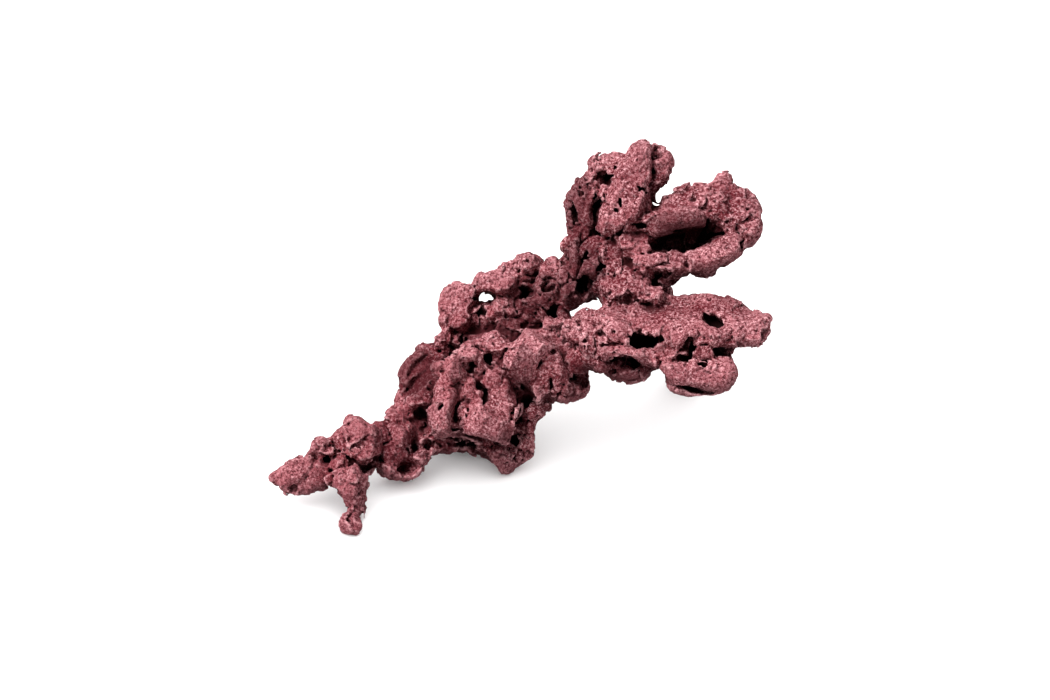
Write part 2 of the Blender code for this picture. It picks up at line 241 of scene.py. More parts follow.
# %% Blocks, by outline, how proud, and how far the front falls back per mm up and per mm right
Block = namedtuple("Block", "outline proud back_up back_right")
BLOCKS = [
    # the tail, the knuckle and the front leg
    Block("-166 66, -162 74, -153 77, -149 71, -149 63, -156 62", 3, 0.2, 0),
    Block("-157 64, -155 69, -149 69, -147 64, -150 61", 5, 0.2, 0),
    Block("-190 52, -182 60, -174 64, -168 62, -165 54, -168 46, -178 38, -186 42", 3, 0.35, -0.15),
    Block("-166 52, -160 55, -153 50, -152 42, -158 36, -168 34, -172 42", 3, -0.15, 0.25),
    Block("-148 82, -146 86, -140 91, -133 94, -128 92, -127 88, -118 87, -115 80, -114 66, -118 58, "
          "-128 56, -138 60, -147 66, -148 76", 3, 0.15, 0),
    Block("-150 52, -146 60, -140 60, -138 53, -141 47, -147 47", 6, 0.2, -0.1),
    Block("-146 36, -145 43, -138 48, -133 52, -129 44, -128 33, -132 26, -138 26", 4, 0.1, -0.15),
    Block("-138 4, -137 8, -132 11, -126 8, -125 3, -129 1, -135 1", 2, 0.1, 0),
    # the ring lobe
    Block("-111 60, -109 76, -102 84, -94 80, -91 68, -93 62, -99 59, -102 53, -98 45, -104 46, "
          "-109 52", 8, 0.45, -0.1),
    Block("-101 53, -98 58, -92 61, -84 60, -78 57, -77 50, -80 45, -88 44, -97 43, -101 46", 6, -0.1, 0.1),
    # the scoop's rim, and the blocks under it
    Block("-96 112, -97 125, -94 133, -88 139, -79 146, -75 142, -84 135, -90 126, -91 113", 4, 0.2, -0.3),
    Block("-87 102, -84 110, -78 113, -71 111, -71 101, -79 102", 4, 0.3, -0.1),
    Block("-68 152, -66 159, -60 160, -58 152", 3, 0.2, 0),
    Block("-57 151, -56 159, -48 160, -46 152, -50 148", 3, 0.2, 0),
    Block("-66 121, -63 128, -59 126, -57 118, -60 113, -66 114", 4, 0.2, 0),
    Block("-70 110, -62 113, -54 112, -52 105, -54 92, -53 85, -58 80, -66 79, -71 84, "
          "-71 95", 8, 0.2, -0.15),
    Block("-49 104, -41 101, -38 97, -44 90, -48 87, -50 95", 5, 0.2, -0.1),
    Block("-43 118, -37 121, -31 113, -29 108, -33 104, -38 103, -45 108", 5, 0.3, -0.1),
    Block("-56 136, -52 138, -47 136, -45 130, -44 121, -57 121, -58 129", 8, 0.4, 0),
    Block("-48 139, -44 147, -38 150, -33 146, -32 138, -36 134, -41 134", 7, 0.5, 0),
    Block("-34 150, -33 157, -28 156, -24 160, -18 157, -12 152, -7 146, -12 142, -20 143, "
          "-28 144", 6, 0.5, 0.1),
    # the lower trunk, the slab and the right lump
    Block("-24 68, -11 70, -6 62, -4 56, -12 49, -16 49, -23 57", 4, -0.15, 0),
    Block("-12 83, -3 88, 8 88, 9 80, -2 79", 5, 0.3, 0.2),
    Block("-9 76, 8 78, 10 66, 3 58, -3 60, -5 68", 2, -0.1, 0.3),
    Block("2 96, 10 103, 22 103, 22 96, 12 92, 10 90", 4, -0.1, 0.2),
    Block("-26 101, -25 112, -31 120, -26 127, -21 133, -15 127, -9 125, -9 112, -4 103, -8 91, -12 89, "
          "-20 93, -23 97", 7, 0.3, 0.15),
    Block("-37 101, -33 104, -28 100, -20 93, -11 89, -16 81, -20 72, -31 71, -38 77, -46 86, -44 92, "
          "-40 97", 10, 0.3, 0),
    Block("-70 83, -57 80, -45 79, -37 77, -31 72, -33 70, -45 75, -57 76, -69 79", 9, 0.5, 0),
    Block("3 121, 10 125, 13 133, 21 140, 31 135, 34 127, 37 113, 30 107, 14 104, 12 108", 4, -0.1, 0.25),
    Block("-10 139, -5 146, 3 153, 9 161, 13 165, 21 164, 29 154, 20 146, 15 138, 11 131, 10 124, 2 121, "
          "-3 128, -9 132", 8, 0.45, -0.2),
    Block("34 137, 40 146, 50 147, 55 138, 50 131, 40 131", 5, 0.4, 0.2),
    Block("27 130, 33 133, 38 128, 40 113, 35 110, 29 112, 26 120", 6, 0.1, 0.3),
    Block("30 110, 34 107, 48 107, 50 113, 44 117, 38 112", 5, 0.2, 0.2),
    # the ridge
    Block("-66 178, -62 190, -54 197, -42 199, -36 194, -35 186, -40 180, -40 168, -46 162, -56 162, "
          "-62 168", 3, 0.2, -0.15),
    Block("-34 195, -34 203, -28 207, -19 207, -11 214, -4 216, 0 207, -3 196, -8 191, -20 191, "
          "-30 192", 4, 0.4, -0.05),
    Block("1 208, 2 219, 10 222, 14 214, 10 206", 4, 0.4, 0.1),
    Block("-16 186, -10 188, -6 183, -4 176, -12 172, -20 176, -19 183", 4, 0.2, 0),
    Block("14 200, 20 206, 26 203, 24 196, 17 194", 4, 0.3, 0),
    Block("33 186, 33 196, 40 203, 46 201, 51 192, 49 184, 40 181", 6, 0.1, 0.1),
    Block("25 193, 27 199, 31 197, 30 192", 4, 0.2, 0),
    Block("40 205, 41 222, 40 236, 46 238, 48 226, 49 212, 46 202", 6, 0, -0.1),
    # the neck
    Block("51 209, 57 216, 63 222, 68 228, 66 215, 60 206, 56 204", 5, 0.1, -0.1),
    Block("78 205, 84 210, 90 206, 92 200, 88 194, 78 194", 4, 0.2, 0),
    Block("66 198, 70 205, 76 203, 76 194, 68 191", 4, 0.2, 0),
    Block("90 198, 96 198, 103 194, 112 190, 112 184, 96 184, 91 190", 5, 0.3, 0),
    # the left crest
    Block("38 250, 36 264, 42 276, 50 284, 58 286, 62 280, 60 268, 56 258, 58 244, 52 238, "
          "42 242", 3, 0, -0.2),
    Block("56 298, 62 303, 78 304, 82 298, 76 292, 66 289, 60 290", 3, 0.4, -0.1),
    Block("66 240, 66 256, 70 262, 76 274, 80 288, 84 300, 92 311, 100 313, 102 300, 101 284, 100 266, "
          "96 254, 88 246, 76 238", 4, 0.15, 0),
    Block("110 311, 117 304, 121 294, 118 284, 110 279, 108 298", 3, 0.2, 0.2),
    # the right crest
    Block("76 236, 84 240, 94 238, 100 234, 94 228, 84 226, 78 230", 4, 0.1, 0),
    Block("100 250, 108 253, 118 252, 128 257, 138 257, 144 253, 145 245, 138 243, 128 246, 118 242, "
          "108 240, 101 243", 8, 0.4, 0),
    Block("95 220, 110 222, 124 221, 133 218, 134 211, 124 209, 112 208, 100 208, 92 212", 5, 0.4, 0),
    Block("136 223, 148 229, 160 232, 172 236, 176 230, 174 224, 163 216, 150 210, 140 212, "
          "134 216", 8, 0.5, 0),
    Block("176 236, 184 238, 190 242, 193 252, 188 262, 178 262, 172 252", 3, 0.1, 0.2),
    Block("154 268, 160 271, 165 263, 163 259, 159 261", 4, 0.3, 0),
    # the shelf
    Block("34 164, 34 173, 39 177, 47 174, 46 166, 40 162", 4, 0.3, -0.2),
    Block("62 151, 75 150, 88 147, 98 144, 108 140, 108 135, 100 138, 84 142, 66 143", 5, 0.3, 0),
    Block("114 128, 116 133, 130 134, 150 134, 168 134, 172 129, 167 120, 163 114, 150 116, 126 119, "
          "116 120", 5, 0.2, 0),
    Block("116 117, 126 116, 140 113, 155 110, 155 108, 148 106, 130 111, 120 112", 4, 0, 0),
]

# %% Dishes and caves, by outline, depth and how much they narrow per mm of depth
Cave = namedtuple("Cave", "outline deep taper", defaults=(0.08,))
DISHES = [
    Cave("-94 110, -92 122, -86 131, -76 140, -64 147, -57 146, -62 136, -66 128, -74 120, -80 114, "
         "-88 106", 8, 1.1),
    Cave("-91 90, -85 98, -77 101, -71 93, -72 80, -78 72, -79 64, -85 62, -89 68, -88 78", 8, 0.7),
    Cave("-100 54, -96 59, -88 61, -81 58, -77 51, -83 45, -92 43, -99 47", 8, 0.6),
]
CAVES = [
    # the tail, the knuckle and the ring lobe
    Cave("-186 36, -180 40, -177 37, -179 31", 12),
    Cave("-166 30, -162 35, -158 32, -160 27", 12),
    Cave("-160 62, -155 62, -152 57, -154 55, -159 57", 10),
    Cave("-151 50, -147 48, -146 42, -150 41", 14),
    Cave("-139 87, -136 88, -135 84, -138 83", 7),
    Cave("-121 82, -118 82, -119 79, -121 79", 6),
    Cave("-136 57, -132 57, -133 53, -136 54", 7),
    Cave("-128 55, -118 60, -112 60, -108 54, -112 50, -118 49, -124 44, -128 48", 12),
    Cave("-84 96, -80 99, -76 97, -74 92, -74 84, -77 88, -82 90", 9),
    Cave("-88 70, -84 71, -80 69, -81 63, -86 63", 7),
    Cave("-78 78, -70 76, -68 68, -74 64, -78 68", 9),
    # the trunk
    Cave("-68 126, -64 124, -70 114, -75 113, -74 118", 6),
    Cave("-65 98, -62 98, -60 102, -61 105, -64 103, -66 100", 14),
    Cave("-54 89, -50 88, -50 98, -46 103, -48 105, -53 102", 9),
    Cave("-45 91, -42 92, -40 100, -42 100", 8),
    Cave("-58 82, -50 86, -45 84, -44 81, -52 80", 8),
    Cave("-60 74, -46 74, -36 73, -36 68, -46 68, -58 69", 10),
    Cave("-66 72, -62 73, -61 67, -64 67", 8),
    Cave("-51 142, -46 146, -42 150, -41 150, -46 144", 12),
    Cave("-47 150, -45 151, -45 161, -47 160", 10),
    Cave("-44 157, -41 157, -41 152, -44 152", 6),
    Cave("-39 136, -35 136, -34 131, -38 127, -40 128, -38 132", 16),
    Cave("-34 120, -32 120, -31 115, -33 114", 7),
    Cave("-30 101, -27 100, -25 112, -29 114, -31 106", 14),
    Cave("-30 141, -25 143, -20 134, -24 131, -28 136", 16),
    Cave("-15 132, -10 132, -11 129, -15 130", 6),
    Cave("-14 160, -6 163, 2 160, 8 160, 2 152, -3 148, -8 150, -12 154", 16),
    Cave("-27 71, -21 71, -23 69, -27 70", 6),
    Cave("-9 70, -6 67, -6 61, -8 62, -10 67", 9),
    Cave("-10 77, -2 78, -2 72, -8 72", 8),
    Cave("-8 96, -6 98, -5 90, -8 89", 12),
    Cave("0 105, 4 108, 9 106, 9 100, 6 97, 1 98", 18),
    Cave("-1 119, 2 120, 7 114, 13 107, 12 102, 9 107, 4 113", 16),
    Cave("11 131, 17 138, 20 137, 16 133, 13 130", 10),
    Cave("24 115, 26 115, 26 124, 24 124", 12),
    Cave("24 146, 29 149, 31 146, 29 143, 25 143", 12),
    Cave("31 134, 34 142, 36 140, 33 134", 10),
    Cave("40 149, 44 150, 48 145, 46 143, 42 146", 10),
    Cave("37 130, 46 128, 56 131, 56 123, 54 114, 50 113, 44 118, 40 122", 14),
    # the ridge
    Cave("-34 176, -31 179, -28 177, -27 174, -33 173", 9),
    Cave("-40 188, -35 189, -33 187, -38 186", 8),
    Cave("-1 192, 2 196, 7 196, 9 191, 6 185, 1 185, -1 188", 18),
    Cave("8 188, 13 190, 15 187, 12 185, 8 186", 10),
    Cave("5 200, 12 203, 13 199, 7 198", 7),
    Cave("10 175, 13 180, 16 178, 15 171, 11 168", 18),
    Cave("16 202, 24 204, 28 198, 24 192, 18 190, 16 195", 8),
    Cave("22 178, 28 182, 30 176, 33 172, 27 170, 24 174", 10),
    Cave("33 216, 36 217, 36 213, 33 213", 6),
    Cave("31 210, 34 210, 33 207, 31 208", 6),
    Cave("44 197, 48 206, 52 207, 57 201, 54 194, 50 188, 47 192", 24),
    # the neck
    Cave("38 222, 40 223, 41 219, 38 218", 9),
    Cave("49 224, 56 228, 58 226, 54 220, 50 219", 10),
    Cave("61 212, 63 219, 65 218, 68 212, 66 209, 61 209", 14),
    Cave("74 203, 75 208, 80 209, 80 206, 77 204", 16),
    Cave("80 219, 83 219, 82 217, 80 217", 6),
    Cave("78 184, 78 191, 88 191, 90 188, 86 182", 6),
    # the left crest
    Cave("43 262, 50 260, 50 258, 44 260", 7),
    Cave("42 259, 44 258, 45 250, 43 247, 42 252", 9),
    Cave("48 271, 51 272, 50 268, 48 268", 6),
    Cave("66 285, 70 287, 79 286, 72 283, 70 278, 68 273, 65 274, 67 280", 18),
    Cave("58 270, 60 275, 63 268, 59 266", 9),
    Cave("60 264, 64 266, 64 261, 62 256, 61 247, 58 250, 58 258", 20),
    Cave("62 248, 65 246, 66 238, 63 237, 62 242", 16),
    Cave("79 267, 82 268, 82 261, 80 259, 79 262", 12),
    Cave("75 260, 78 258, 81 254, 79 253, 76 257", 8),
    Cave("106 310, 109 311, 111 305, 110 297, 107 298, 107 304", 16),
    Cave("106 296, 108 296, 108 287, 105 287, 105 291", 14),
    Cave("103 281, 106 281, 105 276, 103 277", 9),
    Cave("97 275, 99 276, 102 271, 100 271, 98 273", 8),
    Cave("94 276, 96 276, 97 272, 95 273", 6),
    # the right crest
    Cave("84 246, 90 249, 100 247, 100 245, 94 244", 12),
    Cave("86 218, 90 223, 98 225, 106 228, 122 228, 122 223, 108 222, 96 220", 18),
    Cave("106 226, 107 237, 116 240, 124 239, 132 241, 133 230, 133 218, 127 219, 122 223", 26),
    Cave("133 219, 132 232, 139 231, 146 231, 142 227, 136 223", 18),
    Cave("141 231, 145 231, 152 234, 160 236, 168 239, 168 243, 160 242, 151 241, 150 250, 146 250, "
         "145 244, 142 240", 24),
    Cave("116 244, 128 244, 133 243, 132 240, 120 240", 10),
    Cave("103 203, 108 208, 114 209, 118 205, 112 200, 110 194, 105 196", 12),
    Cave("110 207, 116 209, 121 208, 120 206, 114 205", 8),
    Cave("175 233, 182 237, 183 235, 178 231, 179 226, 176 226", 10),
    Cave("175 252, 179 253, 181 251, 177 250", 6),
    # the shelf
    Cave("146 176, 150 174, 156 174, 160 170, 163 166, 158 163, 150 166, 147 171", 10),
    Cave("190 161, 196 161, 198 157, 193 155, 190 157", 8),
    Cave("72 161, 74 163, 79 162, 77 157, 73 158", 10),
    Cave("63 160, 66 162, 67 159, 64 157", 6),
    Cave("62 151, 76 152, 90 151, 88 149, 74 149, 62 148", 6),
    Cave("89 158, 100 159, 110 158, 115 154, 111 150, 108 145, 100 146, 93 145, 88 148, 84 150, "
         "86 155", 34),
    Cave("134 156, 137 155, 141 148, 140 142, 138 136, 130 136, 125 140, 126 144, 133 143, 134 150", 30),
    Cave("155 146, 162 149, 173 149, 169 146, 170 143, 166 140, 155 140, 154 143", 28),
    Cave("140 136, 150 138, 154 139, 150 133, 147 131, 141 134", 9),
    Cave("68 141, 80 142, 90 140, 94 136, 91 132, 88 136, 78 138, 70 137", 13),
    Cave("70 131, 75 133, 76 128, 72 127", 10),
    Cave("126 118, 134 117, 145 114, 156 113, 155 110, 144 111, 132 114", 14),
]
print("blocks:", len(BLOCKS), "dishes:", len(DISHES), "caves:", len(CAVES))

# %% Reading the field, and finding the skin on a sight line
SIGHT_STEP = 0.5
base_field = field.copy()


def sampled(values, points, stride=1):
    """A field at any points, blended from the eight cubes around each; stride 2 has every other cube."""
    lattice = np.clip((points / VOXEL - low) / stride, 0, np.array(values.shape) - 1.001)
    corner = np.floor(lattice).astype(np.int32)
    inside = (lattice - corner).astype(np.float32)
    total = np.zeros(len(points), np.float32)
    for step in np.ndindex(2, 2, 2):
        share = np.ones(len(points), np.float32)
        for a in range(3):
            share *= inside[:, a] if step[a] else 1 - inside[:, a]
        total += share * values[tuple(corner[:, a] + step[a] for a in range(3))]
    return total


def skin_depth(places):
    """Where sight lines through these places meet the rock, and how thick it is there, on the thin side."""
    depths = np.arange(-20, 260, SIGHT_STEP)
    met = []
    for right, up in places:
        line = np.stack([spot(right, up, depth) for depth in depths])
        inside = sampled(base_field, line) < 0
        if inside.any():
            first = inside.argmax()
            gone = np.append(~inside[first:], True).argmax()
            met.append((depths[first], gone * SIGHT_STEP))
    return np.percentile(met, (50, 25), axis=0).diagonal() if met else (None, None)


def seen_from_the_eye(points):
    """The inverse of spot: right, up and away of points, as three arrays."""
    across, along, away = ((points - LEAN_START) @ axis for axis in (RIGHTWARD, UPWARD, AWAYWARD))
    wider = 1 + (away - TRUE_DEPTH) / EYE_DISTANCE
    return MIDDLE_RIGHT + (across - MIDDLE_RIGHT) / wider, MIDDLE_UP + (along - MIDDLE_UP) / wider, away


# %% Adding blocks and cutting caves
RAGGED = 1.3  # how far noise moves an outline, in mm
CRUMPLE = 1.0  # the strength of the finer noise next to the coarse one
RAGGED_SIZE, CRUMPLE_SIZE, SEAM_SIZE = 7, 2.6, 9  # how wide the hills of each noise are, in mm
EDGE = 1.0  # how much edges are rounded, in mm
SEAM, SEAM_DEPTH = 0.7, 2  # half the width of the groove around a block, and its depth, in mm
DEEPEST = 0.5  # where a cave has to end, as a share of the rock's thickness
BLOCK_TAPER = 0.6  # how much a block widens for each mm of depth
PROUDER = 1.25  # every block's height is multiplied by this
BEHIND, COVER = (2, 6, 10), 0.5  # how far behind a block rock has to lie, and how much of it, in mm
BEFORE_CAVE, PAST_CAVE, AROUND_BLOCK = 14, 3, 12  # the part of the field that is worked on, in mm
BESIDE_OUTLINE, TOUCHED = 3, 4


def outline_distance(right, up, outline):
    """The distance to the nearest edge, negative inside, where a line to the right crosses an odd number."""
    nearest = np.full(len(right), 1e9, np.float32)
    odd = np.zeros(len(right), bool)
    for (r0, u0), (r1, u1) in zip(outline, np.roll(outline, -1, axis=0)):
        along = ((right - r0) * (r1 - r0) + (up - u0) * (u1 - u0)) / ((r1 - r0) ** 2 + (u1 - u0) ** 2)
        along = np.clip(along, 0, 1)
        nearest = np.minimum(nearest, np.hypot(right - r0 - along * (r1 - r0), up - u0 - along * (u1 - u0)))
        spans = (up < u0) != (up < u1)
        if u1 != u0:
            odd ^= spans & (right < r0 + (up - u0) * (r1 - r0) / (u1 - u0))
    return np.where(odd, -nearest, nearest)


def rounded_max(first, second, edge):
    """The larger of two values, rounded where they are within an edge of each other."""
    share = np.maximum(edge - np.abs(first - second), 0) / edge
    return np.maximum(first, second) + share * share * edge / 4


def shape(form):
    """Adds a block where there is rock behind it, or cuts a cave, in the field around one outline.

    A cave is where two values are both below zero: the distance to its outline plus a share of the depth,
    and the depth past its floor. For a block they are the distance to its outline less a share of the
    depth, and the distance in front of its leaning plane. A thin seam parts the block from the skin.
    """
    outline = np.array([pair.split() for pair in form.outline.split(",")], float)
    middle = outline.mean(axis=0)
    skin, thick = skin_depth(np.concatenate([[middle], (outline + middle) / 2]))
    if skin is None:
        print("no rock behind", form.outline)
        return
    is_cave = isinstance(form, Cave)
    proud = 0 if is_cave else PROUDER * form.proud
    deep = min(form.deep, DEEPEST * thick) if is_cave else 0
    front = skin - BEFORE_CAVE if is_cave else skin - proud - AROUND_BLOCK
    back = skin + deep + PAST_CAVE if is_cave else skin + AROUND_BLOCK
    left, bottom = outline.min(axis=0) - BESIDE_OUTLINE
    right, top = outline.max(axis=0) + BESIDE_OUTLINE
    box = np.stack([spot(r, u, a) for r in (left, right) for u in (bottom, top) for a in (front, back)])
    first = np.maximum(np.floor(box.min(axis=0) / VOXEL).astype(int) - low, 0)
    last = np.minimum(np.ceil(box.max(axis=0) / VOXEL).astype(int) - low, field.shape)
    places = np.stack(np.meshgrid(*(np.arange(a, b) for a, b in zip(first, last)), indexing="ij"), -1)
    places = places.reshape(-1, 3)
    right, up, away = seen_from_the_eye((places + low) * VOXEL)
    touched = (outline_distance(right, up, outline) < TOUCHED) & (away > front) & (away < back)
    places, right, up, away = places[touched], right[touched], up[touched], away[touched]
    points = ((places + low) * VOXEL).astype(np.float32)
    places = tuple(places.T)
    here = field[places]
    right, up, rough_away = (
        v + RAGGED * (noise(points, RAGGED_SIZE, seed) + CRUMPLE * noise(points, CRUMPLE_SIZE, seed + 30))
        for v, seed in ((right, 21), (up, 22), (away, 23))
    )
    aside = outline_distance(right, up, outline)
    if is_cave:
        narrowed = aside + form.taper * np.maximum(away - skin, 0)
        hole = rounded_max(narrowed, rough_away - skin - deep, EDGE)
        field[places] = rounded_max(here, -hole, EDGE / 2)
        return
    plane = skin - proud + form.back_up * (up - middle[1]) + form.back_right * (right - middle[0])
    lean = math.sqrt(1 + form.back_up**2 + form.back_right**2)
    seam = np.abs(aside - SEAM) - 2 * SEAM * noise(points, SEAM_SIZE, 25)
    seam = np.maximum(np.maximum(seam, plane - away), away - skin - SEAM_DEPTH)
    narrowed = aside + BLOCK_TAPER * (skin - away - proud / 2)
    block = rounded_max(narrowed, (plane - rough_away) / lean, EDGE)
    behind = np.minimum.reduce([sampled(base_field, points + step * AWAYWARD) for step in BEHIND])
    block = rounded_max(block, behind - COVER, EDGE)
    field[places] = -rounded_max(-np.maximum(here, -seam), -block, EDGE / 2)


for form in BLOCKS + DISHES:
    shape(form)
uncaved_field = field.copy()
for form in CAVES:
    shape(form)

# %% [markdown]
# Now the rock's own texture. Broken coral shows several sizes of roughness: facets as big as a fingertip
# with cracks between them, crumbs, pits where worms and sponges bored, and the sandy grain of the crust.
# Some oval places are calmer, such as the scoop and the shelf's top, and in others the colour is darkened
# with painted shade. Only the cubes near the skin need the relief.

# %% The relief of the crust
NEAR = 5.4  # how far from the skin the relief is worked out, in mm
PROUDEST = 2.2  # how far the relief may stand out, in mm, so that the rock keeps its size
CALMED = 0.7  # the share of the relief that is missing in a calm place
Place = namedtuple("Place", "right up wide tall")
CALM = [
    Place(-76, 130, 32, 44),
    Place(8, 144, 26, 30),
    Place(88, 278, 44, 70),
    Place(140, 172, 120, 30),
    Place(-50, 182, 28, 36),
    Place(-18, 203, 30, 20),
    Place(-180, 46, 36, 26),
    Place(-26, 92, 50, 54),
    Place(16, 138, 50, 66),
    Place(-58, 98, 26, 36),
    Place(-52, 129, 22, 22),
    Place(154, 224, 60, 30),
    Place(124, 250, 60, 30),
    Place(142, 120, 60, 34),
]
# Oval places where painted shade darkens the colour.
PAINTED_SHADE_PLACES = [
    Place(20, 190, 76, 44),
    Place(-84, 128, 40, 50),
    Place(82, 130, 48, 24),
    Place(46, 262, 26, 70),
    Place(48, 215, 40, 50),
    Place(128, 246, 60, 26),
    Place(44, 122, 30, 40),
]

# Sizes along the skin and heights, in mm, and the number that picks each texture's own part of the noise.
Texture = namedtuple("Texture", "size height seed")
LUMPS = Texture(18, 0.4, 7)
CRUMBS = Texture(4.2, 0.3, 9)
SANDY = Texture(2.2, 0.5, 10)
PITS = [Texture(7.5, 4, 2), Texture(16, 4.8, 5)]
PORES = Texture(3.4, 1.6, 3)
Facets = namedtuple("Facets", "size steep groove seed")
FACETS = [Facets(17, 5.2, 3, 1), Facets(6.4, 2, 1.1, 4)]
SHAKE_SIZE, SHAKE = 12, 4  # noise that bends the cells, so that no straight rows show
CRACKED_SIZE, PITTED_SIZE = 21, 34  # how wide the areas with cracks and with pits are
STEEPEST = 0.4  # where a facet's tilt is cut off, as a share of its size


def lumpy(heights):
    """Noise folded upwards at zero: round lumps that meet in sharp creases, with a mean near nothing."""
    return 4 * np.abs(heights) - 0.8


def smooth_step(low_end, high_end, values):
    """0 below the low end, 1 above the high end, and an S between."""
    t = np.clip((values - low_end) / (high_end - low_end), 0, 1)
    return t * t * (3 - 2 * t)


def within(points, places):
    """How far inside one of some oval places a point lies: 1 in the middle, falling to 0 at the edge."""
    right, up, _ = seen_from_the_eye(points)
    inside = np.zeros(len(points))
    for place in places:
        size = np.hypot((right - place.right) / place.wide, (up - place.up) / place.tall) * 2
        inside = np.maximum(inside, smooth_step(1.1, 0.6, size))
    return inside.astype(np.float32)


def relief(points, feet):
    """Tilted facets and cracks, lumps, crumbs and grain, minus pits and pores, in mm along the normal."""
    rough = 1 - CALMED * within(points, CALM)
    shaken = points + SHAKE * np.stack([noise(points, SHAKE_SIZE, seed) for seed in (4, 5, 6)], axis=1)
    height = LUMPS.height * rough * lumpy(noise(shaken, LUMPS.size, LUMPS.seed))
    height += CRUMBS.height * (0.4 + 0.6 * rough) * lumpy(noise(shaken, CRUMBS.size, CRUMBS.seed))
    height += SANDY.height * noise(points, SANDY.size, SANDY.seed)
    for size, steep, groove, seed in FACETS:
        way, distance, second, owner = cells(shaken, size, seed)
        tilt = np.clip(np.einsum("ij,ij->i", way, slopes[owner]), -STEEPEST, STEEPEST)
        cracked = smooth_step(-0.05, 0.25, noise(points, CRACKED_SIZE, 12 + seed))
        crack = smooth_step(0.12, 0.02, second - distance) * cracked
        height += rough * (steep * tilt + steep / 4 * (chances[owner, 1] - 0.5) - groove * crack)
    pitted = noise(points, PITTED_SIZE, 12)
    for size, deep, seed in PITS:
        _, distance, _, owner = cells(feet + 0.3 * (shaken - points), size, seed)
        reach = 0.1 + 0.25 * chances[owner, 0]
        pit = smooth_step(1, 0.45, distance / reach) * (chances[owner, 1] < 0.3 + 0.9 * pitted)
        height -= deep * rough * pit * (0.4 + 0.6 * chances[owner, 0])
    _, distance, _, owner = cells(feet, PORES.size, PORES.seed)
    reach = 0.2 + 0.2 * chances[owner, 0]
    pore = smooth_step(1, 0.3, distance / reach) * (chances[owner, 1] < 0.4 + 0.8 * pitted)
    height -= PORES.height * pore
    return np.minimum(height, PROUDEST)


near = np.abs(field) < NEAR
near[[0, -1]] = near[:, [0, -1]] = near[:, :, [0, -1]] = False
index = np.stack(np.nonzero(near), axis=1)
points = ((index + low) * VOXEL).astype(np.float32)
distance = field[near]
steps = np.eye(3, dtype=int)
normal = np.stack(
    [field[tuple((index + step).T)] - field[tuple((index - step).T)] for step in steps], axis=1
)
normal /= np.linalg.norm(normal, axis=1, keepdims=True) + 1e-6
feet = points - distance[:, None] * normal
heights = in_parts(relief, points, feet)
field[near] = distance - heights
print("relief in mm, mean and spread:", round(float(heights.mean()), 2), round(float(heights.std()), 2))

# %% [markdown]
# Flakes and spurs as thin as a match would have snapped off in the sea. They give themselves away in a
# blurred copy of the field: close around them nearly all is air. Then everything below the floor is cut
# off, which leaves the feet flat, and the top is kept to a little above the solids.

# %% Breaking off what is too thin, then cutting the feet and the top
THIN_RANGE = 3  # how far the blur looks around, in mm
THIN_LIMIT = 2.5  # where the blurred field says this many mm of air, the spot is too thin
ABOVE = 3

field = np.maximum(field, blurred(field, THIN_RANGE / VOXEL) - THIN_LIMIT)
level = ((np.arange(field.shape[2]) + low[2]) * VOXEL).astype(np.float32)
top = cad_box[1][2] / MM + ABOVE
field = np.maximum(field, np.maximum(-level, level - top))
print("cubes inside the rock now:", int((field < 0).sum()))

# %% [markdown]
# Carving leaves a few loose crumbs in the air and a few bubbles inside the stone. They are found on the
# mesh: every corner takes the lowest number among its neighbours, again and again, until each separate
# body has one number. Every other body than the largest that is no wider than a speck is a crumb or a
# bubble, and the field is mended around it.

# %% Sweeping away crumbs and bubbles
SPECK = 12  # the widest crumb or bubble that is swept, in mm


def mesh_of(values):
    """The corners in millimetres, and the four-sided faces, of the surface where the distances are zero."""
    grid = vdb.FloatGrid(NEAR)
    grid.transform = grid_scale
    grid.gridClass = vdb.GridClass.LEVEL_SET
    grid.copyFromArray(values, ijk=tuple(low))
    return grid.convertToQuads(0.0)


def bodies(count, quads):
    """A number for each corner, the same for all corners of one body: the lowest corner number in it."""
    number = np.arange(count)
    starts, ends = quads[:, [0, 1, 2, 3]].ravel(), quads[:, [1, 2, 3, 0]].ravel()
    while True:
        lowest = np.minimum(number[starts], number[ends])
        lower = number.copy()
        np.minimum.at(lower, number[starts], lowest)
        np.minimum.at(lower, number[ends], lowest)
        lower = lower[lower]
        if (lower == number).all():
            return number
        number = lower


def sweep():
    """Turns each body no wider than a speck to air where it is rock, and to rock where it is a bubble."""
    corners, quads = mesh_of(field)
    number = bodies(len(corners), quads.astype(np.int64))
    owners, counts = np.unique(number, return_counts=True)
    main = owners[counts.argmax()]
    for owner in owners[owners != main]:
        around = corners[number == owner] / VOXEL - low
        a, b = np.floor(around.min(axis=0)).astype(int), np.ceil(around.max(axis=0)).astype(int) + 1
        middle = tuple(np.round(around.mean(axis=0)).astype(int))
        box = tuple(slice(i, j) for i, j in zip(a, b))
        if max(b - a) <= SPECK / VOXEL:
            field[box] = abs(field[box]) + VOXEL / 4 if field[middle] < 0 else -abs(field[box]) - VOXEL / 4
    return len(owners) - 1


print("crumbs and bubbles swept:", sweep(), "then", sweep())

# %% [markdown]
# The skin is one field, but the rock has eight branches, and each needs a piece of its own. A cube
# belongs to the branch whose solid is nearest. Past its border a branch's skin sinks slowly under its
# neighbour's and ends in a cap out of sight, so no seam shows between them. The trunk is large, so it is
# made as three.

# %% Which branch owns each cube
OVERLAP = 1.5  # how far a branch goes on under its neighbour, in mm
SINK = 0.35  # how steeply it sinks there
TRUNK_CUTS = (-52, 0)  # where the trunk is parted, in mm along X
OWNER_BAND = 12  # how many cubes from a solid its distance is known

